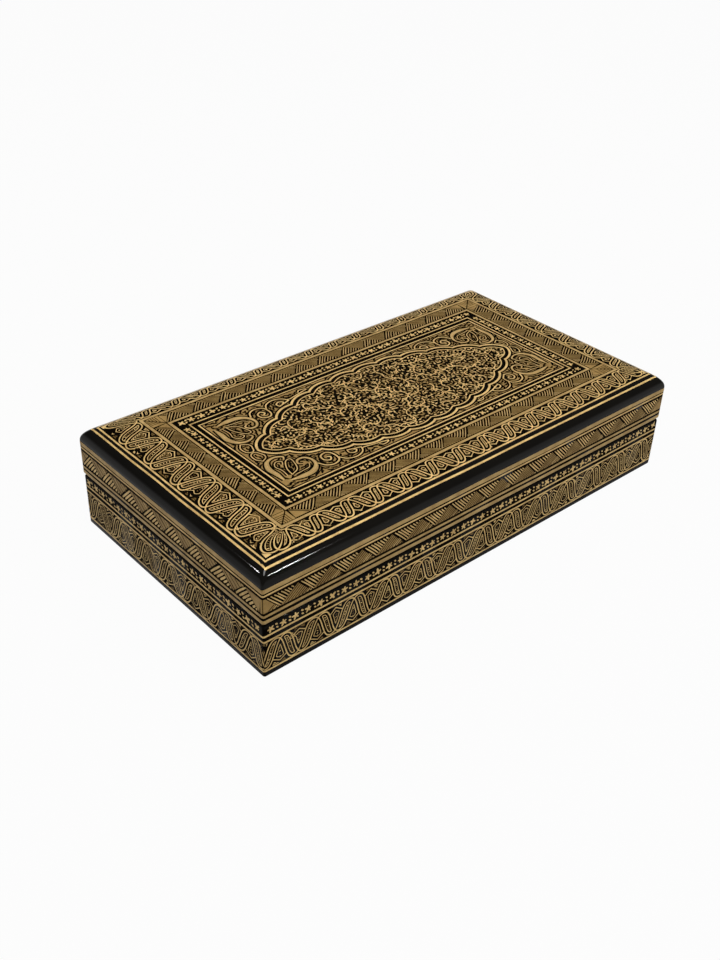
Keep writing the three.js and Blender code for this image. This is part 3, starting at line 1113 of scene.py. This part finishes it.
FAT_LEAVES = (
    ([(2.0, 5.6), (2.1, 9.5), (1.9, 14.0), (3.9, 17.8), (7.4, 18.8), (10.3, 17.4), (9.6, 15.6)],
     (0.8, 1.9, 2.2, 1.5, 1.0, 0.8, 0.6)),
    ([(4.0, 4.2), (8.6, 3.6), (13.2, 3.9), (16.5, 6.4), (17.3, 9.8), (15.8, 12.4), (13.2, 12.6),
      (11.9, 10.8), (13.2, 9.5)],
     (0.8, 2.2, 2.3, 1.5, 1.1, 1.0, 1.0, 0.9, 0.6)),
)
STEMS = (
    ([(17.5, 6.6), (19.0, 3.8), (22.0, 2.7), (25.0, 4.2), (25.3, 8.2), (23.6, 10.2), (20.9, 9.4),
      (20.4, 6.9), (22.2, 5.6), (23.4, 7.0), (22.4, 7.9)], 0.95),
    ([(25.4, 5.4), (27.4, 2.6), (31.0, 1.5), (34.6, 2.8), (35.9, 5.6), (34.0, 7.8), (31.2, 7.2),
      (30.4, 5.0), (32.2, 3.9), (33.6, 5.0), (32.6, 5.9)], 0.85),
    ([(35.8, 4.4), (39.0, 4.9), (42.8, 4.9), (46.0, 3.9), (46.3, 2.2), (43.6, 1.6), (42.4, 2.8)], 0.75),
    ([(46.4, 3.2), (49.8, 3.4), (53.0, 3.0), (54.0, 1.7), (51.6, 1.2)], 0.65),
    ([(54.0, 2.4), (58.0, 2.6), (61.6, 2.2), (64.6, 1.4), (67.6, 1.2)], 0.6),
    ([(3.4, 19.2), (1.9, 21.6), (2.2, 24.6), (4.2, 25.6), (5.9, 23.6), (5.7, 20.8), (3.4, 19.2)], 0.65),
    ([(6.2, 6.6), (7.0, 10.6), (9.4, 14.4), (11.6, 14.6), (11.2, 11.6), (9.6, 8.2), (6.2, 6.6)], 0.60),
    ([(4.6, 7.0), (5.0, 10.6), (4.4, 13.8), (6.2, 16.0), (8.2, 15.2), (7.4, 13.4)], 0.55),
    ([(7.0, 5.8), (10.6, 6.2), (13.6, 6.6), (15.0, 8.4)], 0.50),
    ([(18.6, 12.6), (20.8, 12.4), (22.6, 13.8), (21.4, 15.4), (19.4, 14.8)], 0.55),
    ([(12.2, 20.2), (14.6, 19.0), (17.2, 19.4), (17.6, 17.4), (15.4, 16.4)], 0.60),
    ([(27.0, 9.6), (29.0, 10.4), (29.6, 12.2), (27.6, 12.6)], 0.50),
)
forms, margins, headings = [], [], []
keep_out = medallion(1.8)
for home, mirror in zip(FIELD, CORNERS):
    for points, knots in FAT_LEAVES:
        at = home + curve_through(points) * mirror
        width = np.interp(np.linspace(0, 1, len(at)), np.linspace(0, 1, len(knots)), knots)
        width = width * (0.92 if mirror[0] > 0 else 0.78)
        top_ink.stroke(on_top, at, width + 1.4, 0.022)
        top_stripe.stroke(on_top, at, width, 0.036, across=5)
        top_gold.stroke(on_top, at, np.where(width > 1.3, 0.40, width * 0.8), 0.042)
        forms.append(at)
        margins.append(width / 2 + 0.7)
        headings.append(np.gradient(at, axis=0))
    for points, width in STEMS:
        at = home + curve_through(points) * mirror
        at = np.array([p for p in at if inside(p, keep_out) < 0])
        if len(at) < 5:
            continue
        top_ink.stroke(on_top, at, width + 1.15, 0.024, across=2)
        top_gold.stroke(on_top, at, width, 0.036)
        forms.append(at)
        margins.append(np.full(len(at), width / 2 + 0.58))
        headings.append(np.gradient(at, axis=0))

# Short black strokes fill the gold round them, each lying along the nearest form
MARK_TRIES, MARK_SPACING = 16000, 1.22
clear = medallion(1.5)
forms, margins = np.vstack(forms + [clear]), np.concatenate(margins + [np.zeros(len(clear))])
headings = np.vstack(headings + [np.roll(clear, -1, 0) - clear])
marks_made = np.full((1, 2), 1e3)
for _ in range(MARK_TRIES):
    point = np.array([vary(FIELD[0][k] + 0.8, FIELD[2][k] - 0.8) for k in (0, 1)])
    gaps = np.hypot(*(forms - point).T) - margins
    if gaps.min() < 0.25 or np.hypot(*(marks_made - point).T).min() < MARK_SPACING:
        continue
    if inside(point, clear) > -0.4:
        continue
    marks_made = np.vstack([marks_made, point])
    nearest = headings[np.argmin(gaps)]
    angle = math.atan2(nearest[1], nearest[0]) + hand.gauss(0, 0.35)
    f = np.linspace(-0.5, 0.5, 4)[:, None]
    long, bend = vary(1.7, 2.7), hand.choice((-0.35, 0.35))
    onward = np.array([math.cos(angle), math.sin(angle)])
    beside = np.array([-onward[1], onward[0]])
    path = point + onward * f * long + beside * bend * (4 * f * f - 0.5)
    top_ink.stroke(on_top, path, [0.40, 0.84, 0.84, 0.36], 0.022, across=2)
for paint in (top_gold, top_stripe, top_ground, top_field, top_ink):
    paint.piece("lid", top_map)
